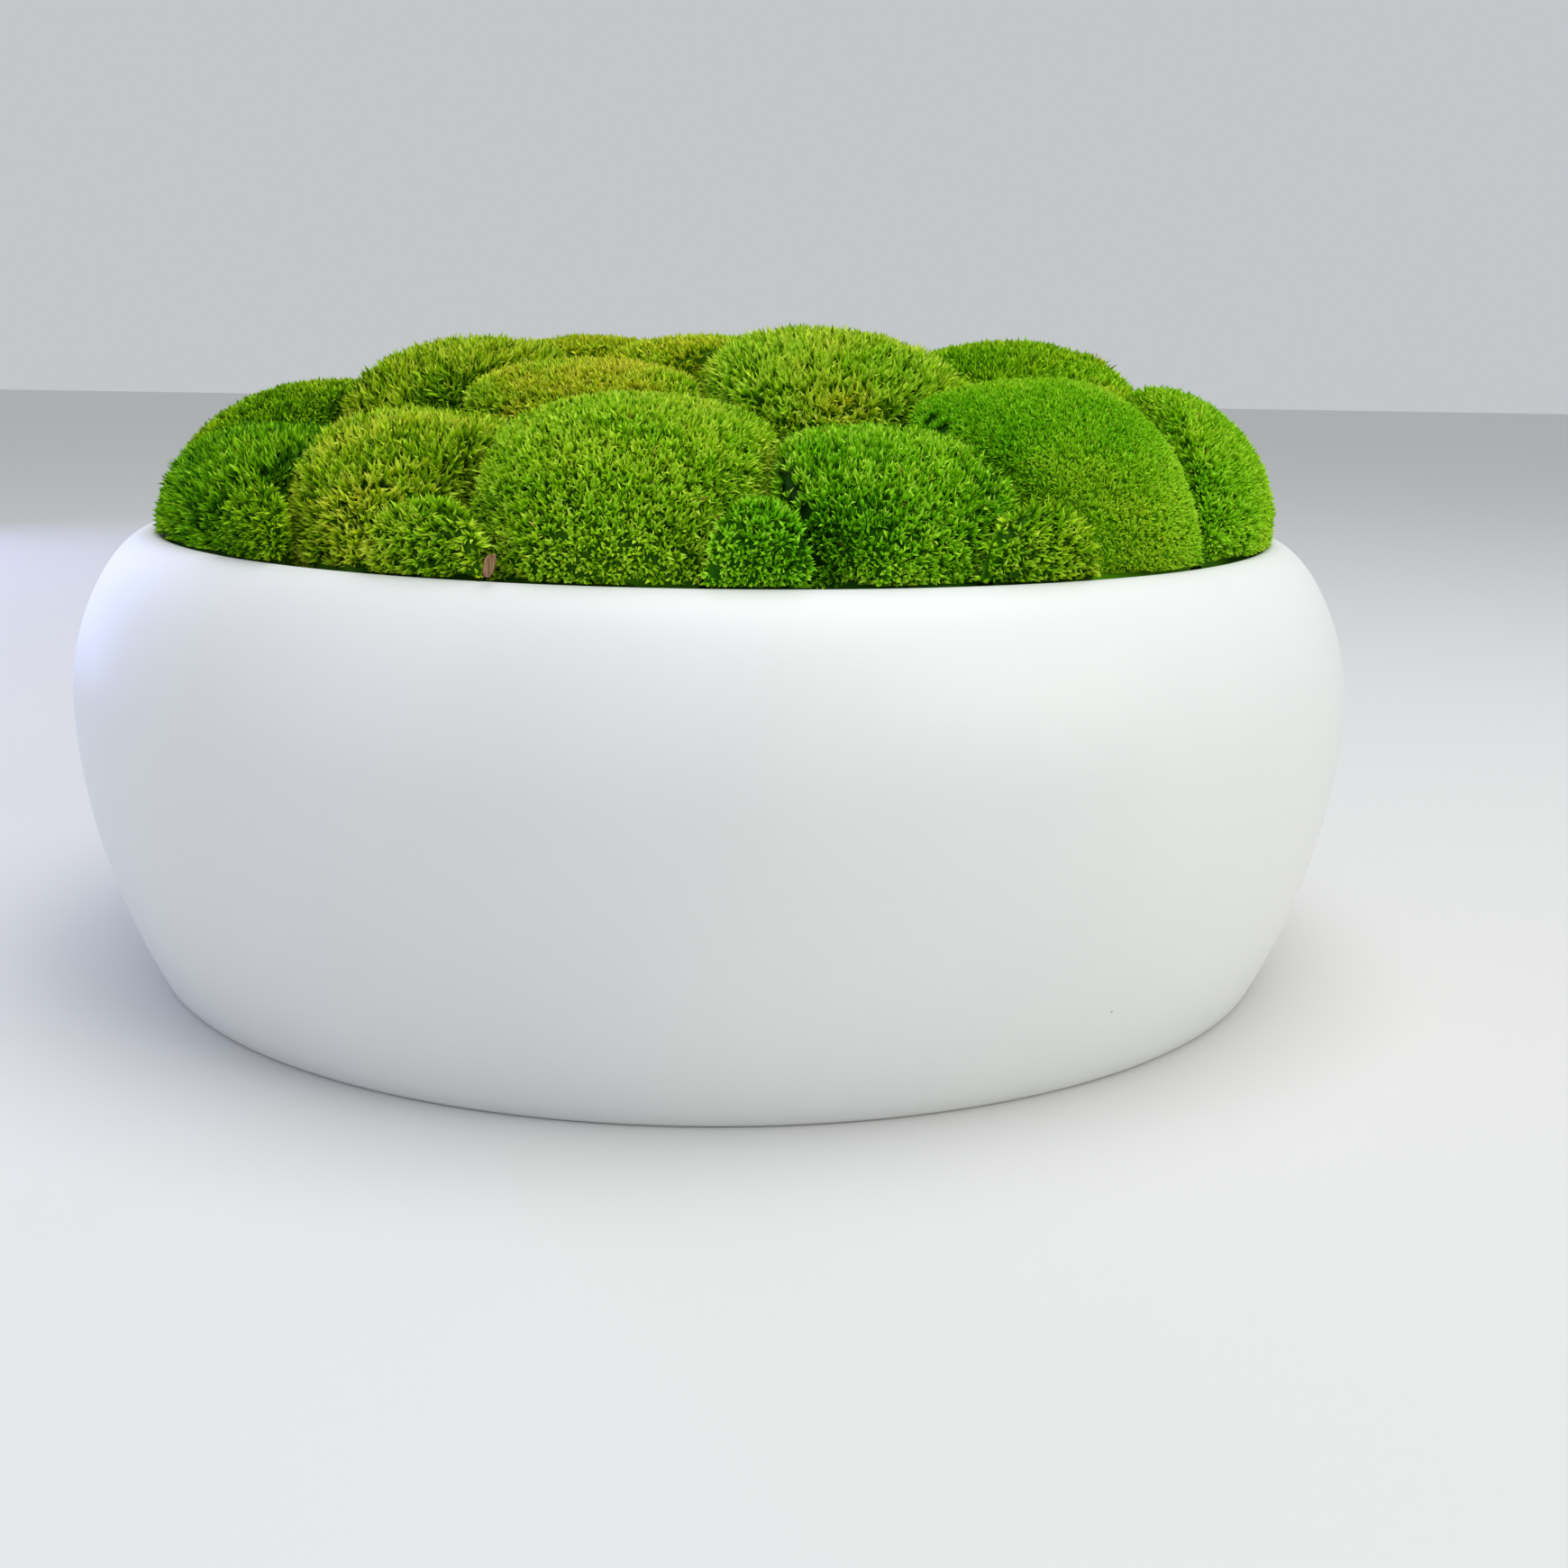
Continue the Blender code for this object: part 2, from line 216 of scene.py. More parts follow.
# Colours of the leaves, as places in the chart
COLOUR_PATCH = 18 * MM
SMALL_COLOUR_PATCH = 5 * MM
TINT_BY_PATCH = 0.16
TINT_BY_SMALL_PATCH = 0.08
TINT_BY_SHOOT = 0.03
TINT_BY_LEAF = 0.05
LIGHT_BY_SHOOT = 0.7
LIGHT_RANGE = (0.25, 1.5)
LOWEST_TINT = 0.01
OLIVE_TINT = 0.86  # the chart's greens end here and its dry browns begin
DRY_TINTS = (0.88, 0.98)
DRY_SHARE = 0.004  # of the leaves, everywhere
DRY_FROM_TINT = 0.8
DRY_IN_OLIVE = 0.5  # how fast that share grows with the tint past DRY_FROM_TINT
MIDDLE_LIGHT = 0.6  # brightness of a leaf at its widest place, against its tip: painted shade down among the leaves
LEAF_CHART_WIDTH = 0.004  # half a leaf's width in the chart, so that no triangle is a line there
FIRST_SEED = 100

# Sockets of a Mix node for colours
MIX_FACTOR, MIX_A, MIX_B, MIX_RESULT = 0, 6, 7, 2

# Soft studio lights: place and width in metres, power in watts and colour
LIGHT_TARGET = (0, 0, 0.1)
LIGHTS = {
    "above": ((0.25, -0.15, 1.5), 1.2, 12, "#ffffff"),
    "right": ((1.1, -0.9, 0.8), 0.9, 5.4, "#fffaf2"),
    "left": ((-1.1, -0.5, 0.5), 0.7, 1.4, "#c4ccff"),
    "behind": ((-1.0, 0.9, 0.3), 0.7, 4.5, "#b4bcff"),
}
SKY_COLOUR = "#eef2f6"
SKY_STRENGTH = 0.64
FLOOR_SIZE = 6.0

# Camera, which stands where the photograph was taken from
CAMERA_PLACE = (0, -0.57822, 0.17445)
CAMERA_PITCH, CAMERA_ROLL, CAMERA_YAW = (math.radians(angle) for angle in (12.675, 0.960, 2.081))
SENSOR_WIDTH = 36
LENS = 44.483


def linear(hex_colour):
    """An sRGB hex colour as linear RGBA."""
    values = [int(hex_colour[i : i + 2], 16) / 255 for i in (1, 3, 5)]
    return (*(v / 12.92 if v <= 0.04045 else ((v + 0.055) / 1.055) ** 2.4 for v in values), 1.0)


def add_node(tree, kind, links=None, settings=None, **values):
    """Adds a node. links gives its input sockets' sources, settings its properties."""
    node = tree.nodes.new(kind)
    for name, value in (settings or {}).items():
        setattr(node, name, value)
    for name, value in values.items():
        node.inputs[name.replace("_", " ")].default_value = value
    for name, source in (links or {}).items():
        tree.links.new(source, node.inputs[name])
    return node


def fill_ramp(node, stops):
    """Sets a colour ramp's stops from {position: hex colour or level of grey}."""
    elements = node.color_ramp.elements
    while len(elements) > 1:
        elements.remove(elements[-1])
    for i, (position, colour) in enumerate(sorted(stops.items())):
        element = elements[0] if i == 0 else elements.new(position)
        element.position = position
        element.color = linear(colour) if isinstance(colour, str) else (colour, colour, colour, 1)


def new_material(name):
    """A new material, its node tree and its shader."""
    material = bpy.data.materials.new(name)
    material.use_nodes = True
    material.node_tree.nodes["Principled BSDF"].name = "Principled"
    return material, material.node_tree, material.node_tree.nodes["Principled"]


def moss_material(name):
    """Living moss: leaves one cell thick, matt, with pale tips, and darker and browner roots.
    The pale tips are partly the leaves' own colour and partly a painted highlight, and the
    darkening towards the roots is painted shade down among the leaves.

    The chart's u is the tint and its v the brightness, which grows from root to tip: painted
    shade, darkest at the roots."""
    material, tree, shader = new_material(name)
    chart = add_node(tree, "ShaderNodeUVMap", settings={"uv_map": "OFBake"})
    split = add_node(tree, "ShaderNodeSeparateXYZ", {"Vector": chart.outputs["UV"]})
    tint = add_node(tree, "ShaderNodeValToRGB", {"Fac": split.outputs["X"]})
    fill_ramp(tint, {
        0.00: "#8eec10",
        0.20: "#9aec10",
        0.40: "#aaec10",
        0.60: "#bae914",
        0.80: "#cfe61a",
        OLIVE_TINT: "#dade20",
        0.90: "#c2a54c",
        1.00: "#8f6634",
    })
    # Painted shade: each leaf darker towards its root, down among the leaves
    shade = add_node(tree, "ShaderNodeValToRGB", {"Fac": split.outputs["Y"]})
    fill_ramp(shade, {
        0.0: "#1c3812",
        0.2: "#44682c",
        0.4: "#a0b878",
        0.7: "#f0f4c8",
        1.0: "#ffffff",
    })
    body = add_node(
        tree,
        "ShaderNodeMix",
        {MIX_A: tint.outputs["Color"], MIX_B: shade.outputs["Color"]},
        {"data_type": "RGBA", "blend_type": "MULTIPLY"},
        Factor=1.0,
    )
    # Pale tips, partly the leaves' own colour and partly a painted highlight
    tip = add_node(tree, "ShaderNodeValToRGB", {"Fac": split.outputs["Y"]})
    fill_ramp(tip, {0.65: 0.0, 1.0: 0.38})
    pale = add_node(
        tree,
        "ShaderNodeMix",
        {MIX_FACTOR: tip.outputs["Color"], MIX_A: body.outputs[MIX_RESULT]},
        {"data_type": "RGBA"},
    )
    pale.inputs[MIX_B].default_value = linear("#eff274")
    tree.links.new(pale.outputs[MIX_RESULT], shader.inputs["Base Color"])
    shader.inputs["Roughness"].default_value = 0.55
    shader.inputs["Specular IOR Level"].default_value = 0.06
    return material


def bowl_material():
    """Satin lacquer on moulded glass fibre: white, with the faint orange peel of spraying,
    soft clouds about 110 mm across in its gloss, and one speck of dirt."""
    material, tree, shader = new_material("satin_white_lacquer")
    place = add_node(tree, "ShaderNodeTexCoord")
    peel = add_node(
        tree,
        "ShaderNodeTexNoise",
        {"Vector": place.outputs["Object"]},
        Scale=1 / (2.2 * MM),
        Detail=2.0,
    )
    cloud = add_node(
        tree, "ShaderNodeTexNoise", {"Vector": place.outputs["Object"]}, Scale=9.0, Detail=3.0
    )
    colour = add_node(tree, "ShaderNodeValToRGB", {"Fac": cloud.outputs["Fac"]})
    fill_ramp(colour, {0.3: "#e3e5e3", 0.7: "#eaebe9"})
    gloss = add_node(
        tree,
        "ShaderNodeMapRange",
        {"Value": cloud.outputs["Fac"]},
        To_Min=0.36,
        To_Max=0.46,
    )
    bump = add_node(
        tree, "ShaderNodeBump", {"Height": peel.outputs["Fac"]}, Strength=0.25, Distance=0.1 * MM
    )
    away = add_node(
        tree,
        "ShaderNodeVectorMath",
        {0: place.outputs["Object"]},
        {"operation": "DISTANCE"},
    )
    away.inputs[1].default_value = SPECK
    speck = add_node(
        tree,
        "ShaderNodeMapRange",
        {"Value": away.outputs["Value"]},
        From_Min=0.8 * SPECK_RADIUS,
        From_Max=1.2 * SPECK_RADIUS,
        To_Min=0.8,
        To_Max=0.0,
    )
    dirt = add_node(
        tree,
        "ShaderNodeMix",
        {MIX_FACTOR: speck.outputs["Result"], MIX_A: colour.outputs["Color"]},
        {"data_type": "RGBA"},
    )
    dirt.inputs[MIX_B].default_value = linear("#6c6c68")
    tree.links.new(dirt.outputs[MIX_RESULT], shader.inputs["Base Color"])
    tree.links.new(gloss.outputs["Result"], shader.inputs["Roughness"])
    tree.links.new(bump.outputs["Normal"], shader.inputs["Normal"])
    return material


def peat_material():
    """Peat: dark brown crumbs about 3 mm across, dull, with painted shade making the gaps between
    them blacker.
    """
    material, tree, shader = new_material("dark_peat")
    place = add_node(tree, "ShaderNodeTexCoord")
    crumb = add_node(
        tree,
        "ShaderNodeTexVoronoi",
        {"Vector": place.outputs["Object"]},
        Scale=1 / (3 * MM),
    )
    # Painted shade: each crumb darker towards the gaps around it
    colour = add_node(tree, "ShaderNodeValToRGB", {"Fac": crumb.outputs["Distance"]})
    fill_ramp(colour, {0.0: "#4a3526", 0.5: "#2c2018", 0.9: "#15100c"})
    bump = add_node(
        tree, "ShaderNodeBump", {"Height": crumb.outputs["Distance"]}, Strength=0.8, Distance=1 * MM
    )
    tree.links.new(colour.outputs["Color"], shader.inputs["Base Color"])
    tree.links.new(bump.outputs["Normal"], shader.inputs["Normal"])
    shader.inputs["Roughness"].default_value = 0.95
    return material


def bark_material():
    """A dry chip of bark: dull, with paler and darker fibres 0.8 mm wide along its length."""
    material, tree, shader = new_material("dry_bark")
    place = add_node(tree, "ShaderNodeTexCoord")
    stretched = add_node(
        tree, "ShaderNodeMapping", {"Vector": place.outputs["Object"]}, Scale=(1, 1, 0.15)
    )
    fibre = add_node(
        tree,
        "ShaderNodeTexNoise",
        {"Vector": stretched.outputs["Vector"]},
        Scale=1 / (0.8 * MM),
        Detail=3.0,
    )
    colour = add_node(tree, "ShaderNodeValToRGB", {"Fac": fibre.outputs["Fac"]})
    fill_ramp(colour, {0.3: "#5f4328", 0.5: "#8d6b45", 0.7: "#b5946b"})
    bump = add_node(
        tree, "ShaderNodeBump", {"Height": fibre.outputs["Fac"]}, Strength=0.6, Distance=0.3 * MM
    )
    tree.links.new(colour.outputs["Color"], shader.inputs["Base Color"])
    tree.links.new(bump.outputs["Normal"], shader.inputs["Normal"])
    shader.inputs["Roughness"].default_value = 0.85
    return material


def add_object(name, mesh, material):
    mesh.name = name
    mesh.shade_smooth()
    mesh.materials.append(material)
    piece = bpy.data.objects.new(name, mesh)
    bpy.context.scene.collection.objects.link(piece)
    return piece


def settle(piece, node):
    """Attaches the piece to the root and hides the CAD node it stands in for."""
    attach(piece, "root")
    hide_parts(node)


def merged_copy(node):
    """A bmesh of a CAD node with its loose triangles joined."""
    bm = bmesh.new()
    bm.from_mesh(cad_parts[node].data)
    bmesh.ops.remove_doubles(bm, verts=bm.verts[:], dist=WELD)
    return bm


def mesh_of(bm):
    """The bmesh as a mesh. The bmesh is freed."""
    mesh = bpy.data.meshes.new("made")
    bm.to_mesh(mesh)
    bm.free()
    return mesh


def shoulder(angle, inset=0.0):
    """A point of the bowl's shoulder, from the belly at 0 to the lip's crest at a right angle."""
    out, rise = BELLY_RADIUS - RIM_RADIUS, RIM_HEIGHT - BELLY_HEIGHT
    power = 2 / SHOULDER_POWER
    across, up = max(math.cos(angle), 0.0), math.sin(angle)
    steepness = 2 * (1 - 1 / SHOULDER_POWER)
    normal = Vector((across**steepness / out, up**steepness / rise)).normalized()
    radius = RIM_RADIUS + out * across**power - inset * normal.x
    return radius, BELLY_HEIGHT + rise * up**power - inset * normal.y


def lower_wall(height):
    """The bowl's outer radius at a height between the foot and the belly."""
    below = (BELLY_HEIGHT - height) / BELLY_HEIGHT
    return FOOT_RADIUS + (BELLY_RADIUS - FOOT_RADIUS) * (1 - below**2)


def bowl_profile():
    """Radius and height of the bowl's wall, from under the foot round the lip to the floor."""
    points = [(0.0, 0.0), (FOOT_RADIUS - FOOT_CHAMFER, 0.0), (FOOT_RADIUS - FOOT_EDGE, FOOT_EDGE)]
    for step in range(WALL_STEPS):
        height = FOOT_CHAMFER + (BELLY_HEIGHT - FOOT_CHAMFER) * step / WALL_STEPS
        points.append((lower_wall(height), height))
    for step in range(WALL_STEPS + 1):
        points.append(shoulder(QUARTER * (step / WALL_STEPS) ** STEP_POWER))
    for step in range(1, LIP_STEPS):
        angle = QUARTER + math.pi * step / LIP_STEPS
        across = LIP_RADIUS * math.cos(angle)
        points.append((RIM_RADIUS + across, RIM_HEIGHT - LIP_RADIUS + LIP_RADIUS * math.sin(angle)))
    points += [shoulder(QUARTER * step / LIP_STEPS, WALL) for step in reversed(range(LIP_STEPS))]
    for height in (BELLY_HEIGHT / 2, FLOOR + FLOOR_CORNER):
        points.append((lower_wall(height) - WALL, height))
    return points + [(lower_wall(FLOOR) - WALL - FLOOR_CORNER, FLOOR), (0.0, FLOOR)]


def make_bowl():
    """The bowl, its wall's profile spun round the middle."""
    bm = bmesh.new()
    verts = [bm.verts.new((radius, 0.0, height)) for radius, height in bowl_profile()]
    edges = [bm.edges.new(pair) for pair in zip(verts, verts[1:])]
    bmesh.ops.spin(
        bm,
        geom=verts + edges,
        cent=(0, 0, 0),
        axis=(0, 0, 1),
        angle=2 * math.pi,
        steps=BOWL_SEGMENTS,
        use_merge=True,
    )
    bmesh.ops.remove_doubles(bm, verts=bm.verts[:], dist=PROFILE_WELD)
    bmesh.ops.recalc_face_normals(bm, faces=bm.faces[:])
    settle(add_object("bowl_shell", mesh_of(bm), bowl_material()), "bowl")


def make_fill():
    """The fill, with a lumpy surface just inside its solid."""
    bm = merged_copy("fill")
    bmesh.ops.subdivide_edges(bm, edges=bm.edges[:], cuts=3, use_grid_fill=True)
    for vert in bm.verts:
        vert.co -= vert.normal * MM * (0.4 + 0.6 * noise.noise(vert.co / FILL_LUMP))
    settle(add_object("peat", mesh_of(bm), peat_material()), "fill")


def make_bark():
    """The chip of bark, with upright grain just inside its solid."""
    bm = merged_copy("bark_chip")
    bmesh.ops.subdivide_edges(bm, edges=bm.edges[:], cuts=3, use_grid_fill=True)
    for vert in bm.verts:
        grain = Vector((vert.co.x, vert.co.y, vert.co.z * BARK_STRETCH)) / BARK_GRAIN
        vert.co -= vert.normal * 0.25 * MM * (1 + noise.noise(grain))
    settle(add_object("bark", mesh_of(bm), bark_material()), "bark_chip")


def unit(vectors):
    """The vectors, each at length 1."""
    return vectors / np.maximum(np.linalg.norm(vectors, axis=1, keepdims=True), 1e-9)


def noise_at(places, size):
    """Smooth noise from about -1 to 1, whose lumps are about this size."""
    return np.array([noise.noise(Vector(place) / size) for place in places])


def arrays_of(mesh):
    """A mesh's points, point normals and triangles."""
    mesh.calc_loop_triangles()
    points = np.empty(len(mesh.vertices) * 3)
    mesh.vertices.foreach_get("co", points)
    normals = np.empty(len(mesh.vertices) * 3)
    mesh.vertices.foreach_get("normal", normals)
    corners = np.empty(len(mesh.loop_triangles) * 3, np.int32)
    mesh.loop_triangles.foreach_get("vertices", corners)
    return points.reshape(-1, 3), normals.reshape(-1, 3), corners.reshape(-1, 3)


def double_areas(corners):
    """For each triangle, the vector square to it whose length is twice its area."""
    return np.cross(corners[:, 1] - corners[:, 0], corners[:, 2] - corners[:, 0])


def point_normals(points, triangles):
    """The normal of each point, from the triangles round it."""
    across = double_areas(points[triangles])
    normals = np.zeros_like(points)
    for corner in range(3):
        np.add.at(normals, triangles[:, corner], across)
    return unit(normals)


def by_the_lip(places):
    """1 for moss that lies on the lip, falling to 0 where it stands well above or inside it."""
    height = np.clip((places[:, 2] - RIM_HEIGHT) / LIP_BAND, 0, 1)
    radius = np.linalg.norm(places[:, :2], axis=1)
    inside = np.clip((INNER_EDGE - radius) / LIP_BAND, 0, 1)
    return (1 - height) * (1 - inside)


def make_bed(node, depth):
    """The node's form, drawn in by the depth, less near the lip, and rounded away from the lip.

    Returns its points, normals and triangles."""
    form = bpy.data.objects.new("form", mesh_of(merged_copy(node)))
    bpy.context.scene.collection.objects.link(form)
    divided = form.modifiers.new("divide", "SUBSURF")
    divided.levels = 1
    divided.subdivision_type = "SIMPLE"
    sharp, _, _ = arrays_of(form.evaluated_get(bpy.context.evaluated_depsgraph_get()).to_mesh())
    divided.subdivision_type = "CATMULL_CLARK"
    rounded, normals, triangles = arrays_of(
        form.evaluated_get(bpy.context.evaluated_depsgraph_get()).to_mesh()
    )
    bpy.data.objects.remove(form)
    lip = by_the_lip(sharp)[:, None]
    points = rounded * (1 - lip) + sharp * lip
    rough = noise_at(points, BED_LUMP)[:, None]
    drawn = normals.copy()
    drawn[:, 2] = np.where(normals[:, 2] < 0, normals[:, 2] * (1 - lip[:, 0]), normals[:, 2])
    points = points - drawn * depth * (1 - SHALLOWER_AT_LIP * lip) * (1 + BED_UNEVENNESS * rough)
    return points, point_normals(points, triangles), triangles


def scatter(points, normals, triangles, spacing, random):
    """Places and normals, one to each cube of the spacing that the surface passes."""
    corners = points[triangles]
    areas = np.linalg.norm(double_areas(corners), axis=1) / 2
    count = int(SHOOT_TRIES * areas.sum() / spacing**2)
    chosen = random.choice(len(triangles), count, p=areas / areas.sum())
    weights = random.dirichlet((1, 1, 1), count)
    places = (corners[chosen] * weights[:, :, None]).sum(1)
    facing = unit((normals[triangles[chosen]] * weights[:, :, None]).sum(1))
    cells = np.floor(places / spacing).astype(int)
    _, first = np.unique(cells, axis=0, return_index=True)
    first.sort()
    return places[first], facing[first]


def seen_from_outside(places, facing, cover):
    """True where light comes in between the cushions."""
    grid = (-1, 0, 1)
    ways = unit(np.array([(x, y, z) for x in grid for y in grid for z in RAY_HEIGHTS], float))
    seen = np.zeros(len(places), bool)
    for i, (place, normal) in enumerate(zip(places, facing)):
        start = Vector(place + normal * RAY_START)
        seen[i] = any(
            way @ normal > RAY_LOWEST and cover.ray_cast(start, Vector(way), RAY_LENGTH)[0] is None
            for way in ways
        )
    low = places[:, 2] < RIM_HEIGHT
    return seen & ~(low & (np.hypot(*places[:, :2].T) > BEHIND_LIP_RADIUS))


def clear_of_splits(places, margin=0.0):
    """True for places that are further than the margin in millimetres from every split."""
    kept = np.ones(len(places), bool)
    for x, y, z, radius in SPLITS:
        kept &= np.linalg.norm(places / MM - (x, y, z), axis=1) > radius + margin
    return kept


def lip_height(radius):
    """Height of the bowl's outside above its belly at this radius, and 0 inside the lip."""
    out, rise = BELLY_RADIUS - RIM_RADIUS, RIM_HEIGHT - BELLY_HEIGHT
    share = np.clip((radius - RIM_RADIUS) / out, 0, 1)
    outside = BELLY_HEIGHT + rise * (1 - share**SHOULDER_POWER) ** (1 / SHOULDER_POWER)
    return np.where(radius < INNER_EDGE, 0, outside)


def shoot_looks(places, tint, brightness, uneven, random):
    """Each shoot's tint, brightness and, as a share, its leaves' length."""
    shoots = len(places)
    patch, small = noise_at(places, COLOUR_PATCH), noise_at(places, SMALL_COLOUR_PATCH)
    own_tint = tint + TINT_BY_PATCH * patch + TINT_BY_SMALL_PATCH * small
    own_tint += random.normal(0, TINT_BY_SHOOT, shoots)
    by_shoot = random.normal(0, LIGHT_BY_SHOOT, shoots)
    # The cushion's brightness, which carries its painted light, varied at random
    own_light = brightness * (1 + uneven * (patch + small + by_shoot))
    own_length = np.ones(shoots)
    for x, y, z, radius, more_tint, more_light, more_length in PATCHES:
        near = np.linalg.norm(places / MM - (x, y, z), axis=1) / radius
        near = np.clip(PATCH_EDGE - near, 0, 1)
        own_tint += near * more_tint
        own_light += near * more_light
        own_length += near * more_length
    return own_tint, own_light, own_length


def leaf_chart(tint, light, style, random):
    """Places in the chart for a leaf's root, its middle's two sides and its tip."""
    count = len(tint)
    u = np.clip(tint + random.normal(0, TINT_BY_LEAF, count), LOWEST_TINT, OLIVE_TINT)
    past_olive = np.clip(tint - DRY_FROM_TINT, 0, 0.5)
    dry = random.random(count) < DRY_SHARE + DRY_IN_OLIVE * past_olive
    u[dry] = random.uniform(*DRY_TINTS, dry.sum())
    light = np.clip(light * (1 + random.normal(0, style.uneven, count)), *LIGHT_RANGE)
    # The brightness falls from tip to root: painted shade down among the leaves
    corners = (
        (u, style.deep * light),
        (u - LEAF_CHART_WIDTH, MIDDLE_LIGHT * light),
        (u + LEAF_CHART_WIDTH, MIDDLE_LIGHT * light),
        (u, np.minimum(light, 1.0)),
    )
    return np.stack([np.stack(corner, 1) for corner in corners], axis=1)


def grow_leaves(places, facing, style, tint, brightness, random):
    """Leaves on shoots: points, triangles and chart places, four points to a leaf."""
    shoots = len(places)
    lip = by_the_lip(places)
    lean = np.array([noise.noise_vector(Vector(place) / LEAN_SIZE) for place in places])
    shaken = style.tousle * (lean + SHAKE * random.normal(size=(shoots, 3)))
    outward = facing.copy()
    outward[:, 2] = np.maximum(outward[:, 2], LOWEST_FACING)
    upward = UPWARD_LEAN * (1 - lip)[:, None]
    axis = unit(outward + shaken * (1 - STEADIER_AT_LIP * lip)[:, None] + upward)
    own_tint, own_light, own_length = shoot_looks(places, tint, brightness, style.uneven, random)

    # Each leaf's shoot, its turn round it, and its size
    owner = np.repeat(np.arange(shoots), style.leaves)
    leaf = np.tile(np.arange(style.leaves), shoots)
    count = len(owner)
    across = unit(np.cross(axis, random.normal(size=(shoots, 3))))[owner]
    axis = axis[owner]
    turn = leaf * GOLDEN_ANGLE + random.normal(0, TURN_SPREAD, count)
    way = across * np.cos(turn)[:, None] + np.cross(axis, across) * np.sin(turn)[:, None]
    stretch = (own_length * random.uniform(*SHOOT_LENGTHS, shoots))[owner]
    stretch *= random.uniform(*LEAF_LENGTHS, count)
    grown = style.length * MM * stretch * (1 - SHORTER_AT_LIP * lip[owner])

    # Angles of the leaf's lower and upper half from its shoot, wider for the outer leaves
    outer = leaf / (style.leaves - 1)
    spread = np.radians(style.spread)
    lower = spread * (INNER_ANGLE + OUTER_LOWER * outer) * random.uniform(*LOWER_ANGLES, count)
    upper = spread * (INNER_ANGLE + OUTER_UPPER * outer) * random.uniform(*UPPER_ANGLES, count)
    side = unit(np.cross(axis, way) + SHAKE * random.normal(size=(count, 3)))
    half = (style.width * MM / 2 * random.uniform(*LEAF_WIDTHS, count))[:, None]

    def along(angle):
        return axis * np.cos(angle)[:, None] + way * np.sin(angle)[:, None]

    root = places[owner] + axis * (grown * random.uniform(*ROOT_RISES, count))[:, None]
    middle = root + along(lower) * (0.5 * grown)[:, None]
    tip = middle + along(upper) * (0.5 * grown)[:, None]
    made = np.stack([root, middle - side * half, middle + side * half, tip], axis=1)
    lowest = lip_height(np.linalg.norm(made[:, :, :2], axis=2)) + LIP_CLEARANCE
    made[:, :, 2] = np.maximum(made[:, :, 2], lowest)

    chart = leaf_chart(own_tint[owner], own_light[owner], style, random)
    start = np.arange(count)[:, None, None] * 4
    triangles = start + np.array([(0, 1, 2), (2, 1, 3)])
    return made.reshape(-1, 3), triangles.reshape(-1, 3), chart.reshape(-1, 2)


def make_mesh(points, triangles, chart):
    """A mesh from arrays, with the chart places of its points as its UV map."""
    mesh = bpy.data.meshes.new("made")
    mesh.vertices.add(len(points))
    mesh.vertices.foreach_set("co", points.ravel())
    mesh.loops.add(triangles.size)
    mesh.loops.foreach_set("vertex_index", triangles.ravel().astype(np.int32))
    mesh.polygons.add(len(triangles))
    mesh.polygons.foreach_set("loop_start", np.arange(0, triangles.size, 3, dtype=np.int32))
    uv = mesh.uv_layers.new(name="OFBake")
    uv.data.foreach_set("uv", chart[triangles.ravel()].ravel().astype(np.float32))
    mesh.update(calc_edges=True)
    mesh.validate()
    return mesh


def cover_of(beds):
    """All beds as one tree of triangles, to find what hides a place."""
    points, triangles, start = [], [], 0
    for bed, _, faces in beds.values():
        points.append(bed)
        triangles.append(faces + start)
        start += len(bed)
    return BVHTree.FromPolygons(
        np.concatenate(points).tolist(), np.concatenate(triangles).tolist()
    )


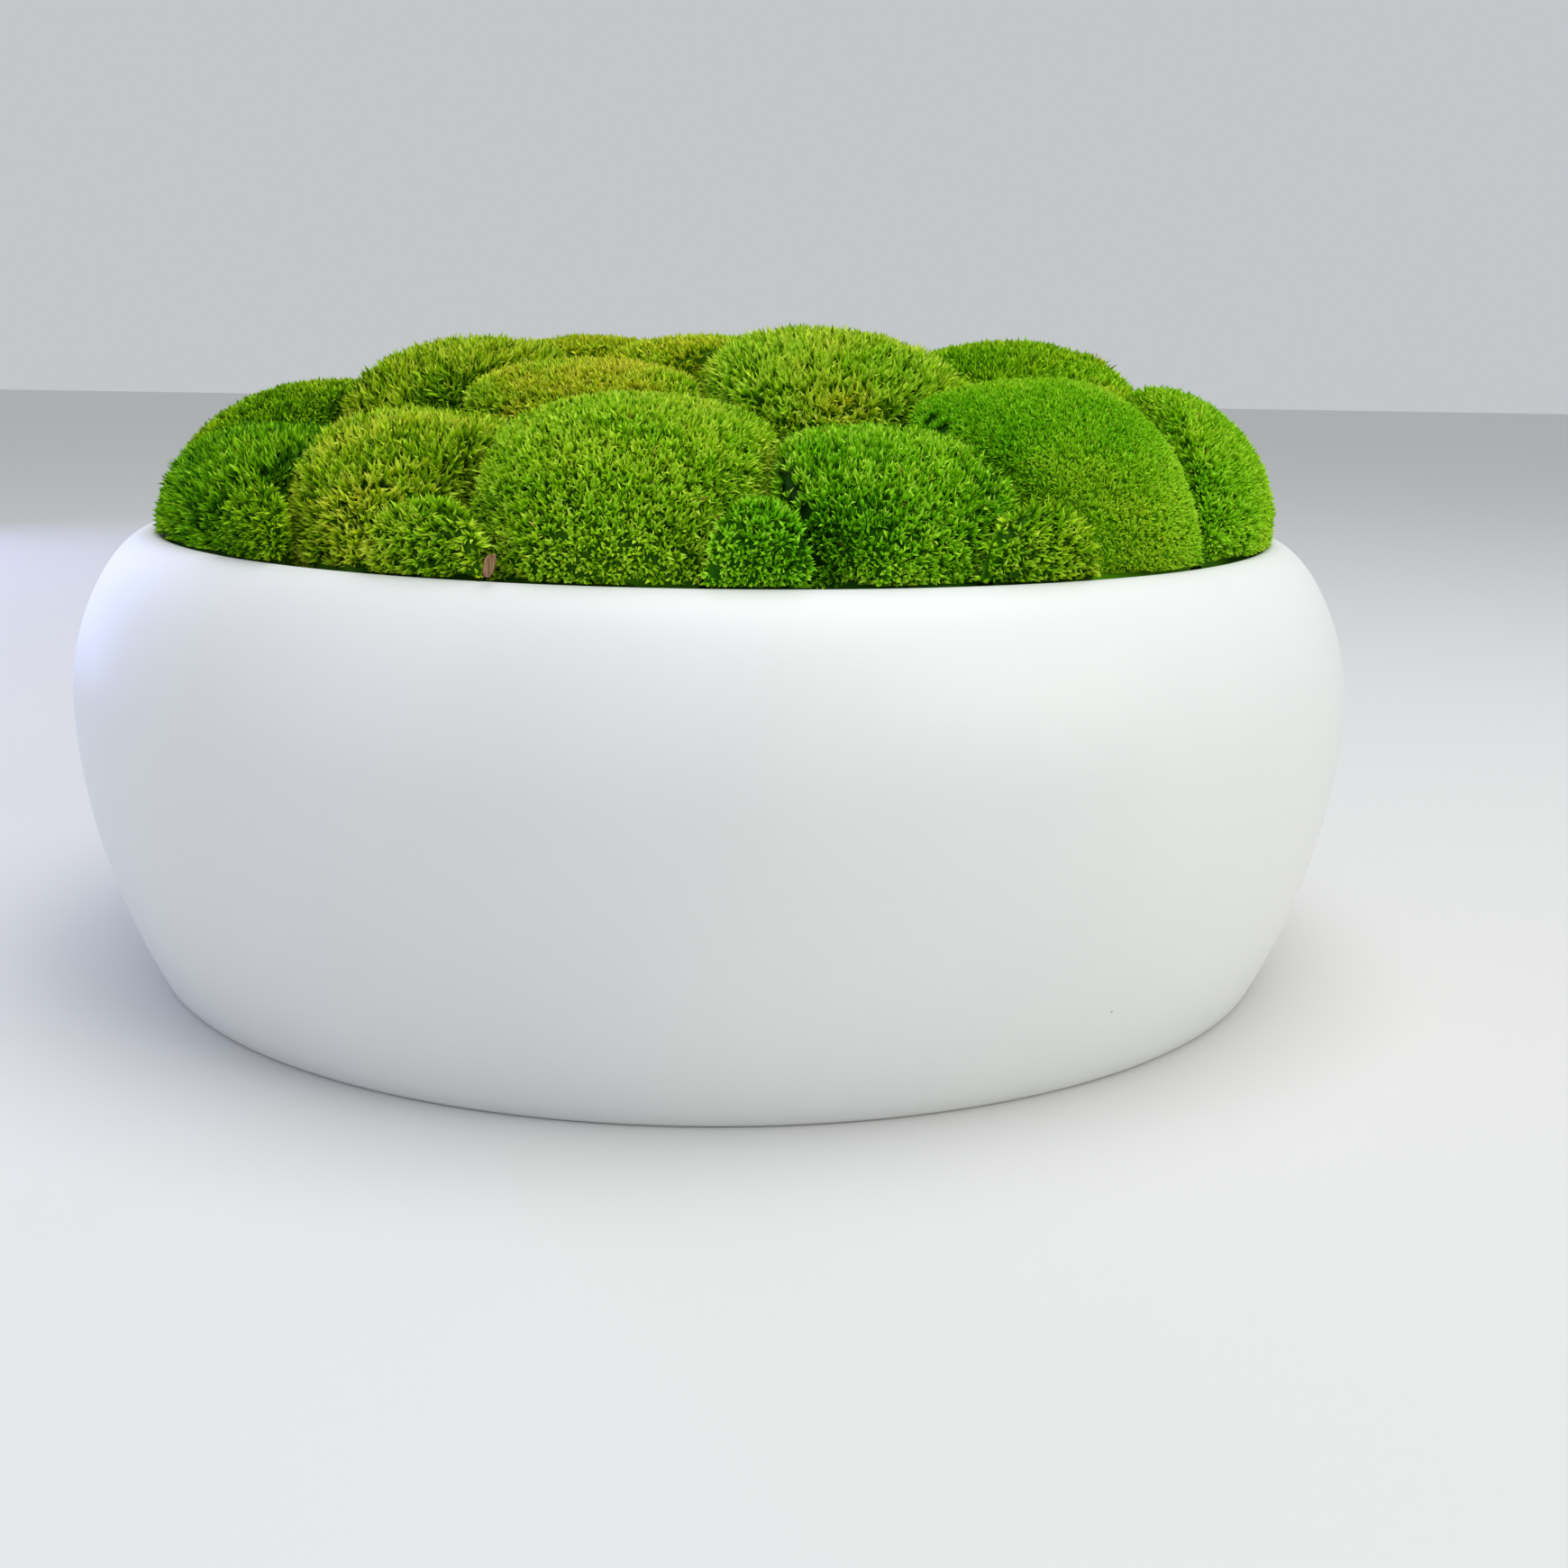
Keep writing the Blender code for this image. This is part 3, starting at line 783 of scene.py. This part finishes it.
def make_moss():
    """Each cushion's bed and the leaves on it, as one piece."""
    noise.seed_set(LEAN_SEED)
    green, olive = moss_material("cushion_moss_green"), moss_material("cushion_moss_olive")
    beds = {
        name: make_bed(name, BED_DEPTH * STYLES[kind].length * MM)
        for name, (kind, _, _) in CUSHIONS.items()
    }
    cover = cover_of(beds)
    for seed, (name, (kind, tint, brightness)) in enumerate(CUSHIONS.items(), FIRST_SEED):
        random = np.random.default_rng(seed)
        style = STYLES[kind]
        bed, normals, faces = beds[name]
        places, facing = scatter(bed, normals, faces, style.spacing * MM, random)
        kept = seen_from_outside(places, facing, cover) & clear_of_splits(places)
        leaves, triangles, chart = grow_leaves(
            places[kept], facing[kept], style, tint, brightness, random
        )
        # The bed painted dark as the shade deep among the shoots, and darker still in the splits
        shade = random.uniform(*BED_SHADE, len(bed)) + BED_SHARE_OF_DEEP * style.deep
        shade[~clear_of_splits(bed, SPLIT_SHADE_MARGIN)] *= SPLIT_SHADE
        bed_tint = tint + random.uniform(-BED_TINT_SPREAD, BED_TINT_SPREAD, len(bed))
        mesh = make_mesh(
            np.concatenate([bed, leaves]),
            np.concatenate([faces, triangles + len(bed)]),
            np.concatenate([np.stack([bed_tint, shade], 1), chart]),
        )
        piece = add_object(name + "_leaves", mesh, olive if name in OLIVE else green)
        mesh.shade_flat()
        settle(piece, name)


def make_floor():
    """A plain pale floor."""
    bm = bmesh.new()
    bmesh.ops.create_grid(bm, x_segments=1, y_segments=1, size=FLOOR_SIZE)
    material, _, shader = new_material("pale_floor")
    shader.inputs["Base Color"].default_value = linear("#dcdcda")
    shader.inputs["Roughness"].default_value = 0.7
    add_object("floor", mesh_of(bm), material)


def make_lights():
    """Soft square lights and an even pale sky."""
    world = bpy.data.worlds.new("studio")
    world.use_nodes = True
    background = world.node_tree.nodes["Background"]
    background.inputs["Color"].default_value = linear(SKY_COLOUR)
    background.inputs["Strength"].default_value = SKY_STRENGTH
    bpy.context.scene.world = world
    for name, (place, size, power, colour) in LIGHTS.items():
        data = bpy.data.lights.new(name, "AREA")
        data.size = size
        data.energy = power
        data.color = linear(colour)[:3]
        lamp = bpy.data.objects.new(name, data)
        lamp.location = place
        aim = Vector(LIGHT_TARGET) - Vector(place)
        lamp.rotation_euler = aim.to_track_quat("-Z", "Y").to_euler()
        bpy.context.scene.collection.objects.link(lamp)


def make_camera():
    """A camera at the photograph's place, angle and field of view."""
    level = math.cos(CAMERA_PITCH)
    forward = Vector(
        (math.sin(CAMERA_YAW) * level, math.cos(CAMERA_YAW) * level, -math.sin(CAMERA_PITCH))
    )
    right = Vector((math.cos(CAMERA_YAW), -math.sin(CAMERA_YAW), 0))
    up = right.cross(forward)
    side = math.cos(CAMERA_ROLL) * right + math.sin(CAMERA_ROLL) * up
    top = math.cos(CAMERA_ROLL) * up - math.sin(CAMERA_ROLL) * right
    data = bpy.data.cameras.new("camera")
    data.sensor_width = SENSOR_WIDTH
    data.lens = LENS
    camera = bpy.data.objects.new("camera", data)
    place = Matrix((side, top, -forward)).transposed().to_4x4()
    place.translation = CAMERA_PLACE
    camera.matrix_world = place
    bpy.context.scene.collection.objects.link(camera)
    bpy.context.scene.camera = camera


make_bowl()
make_fill()
make_bark()
make_moss()
make_floor()
make_lights()
make_camera()
bpy.context.scene.view_settings.view_transform = "Standard"
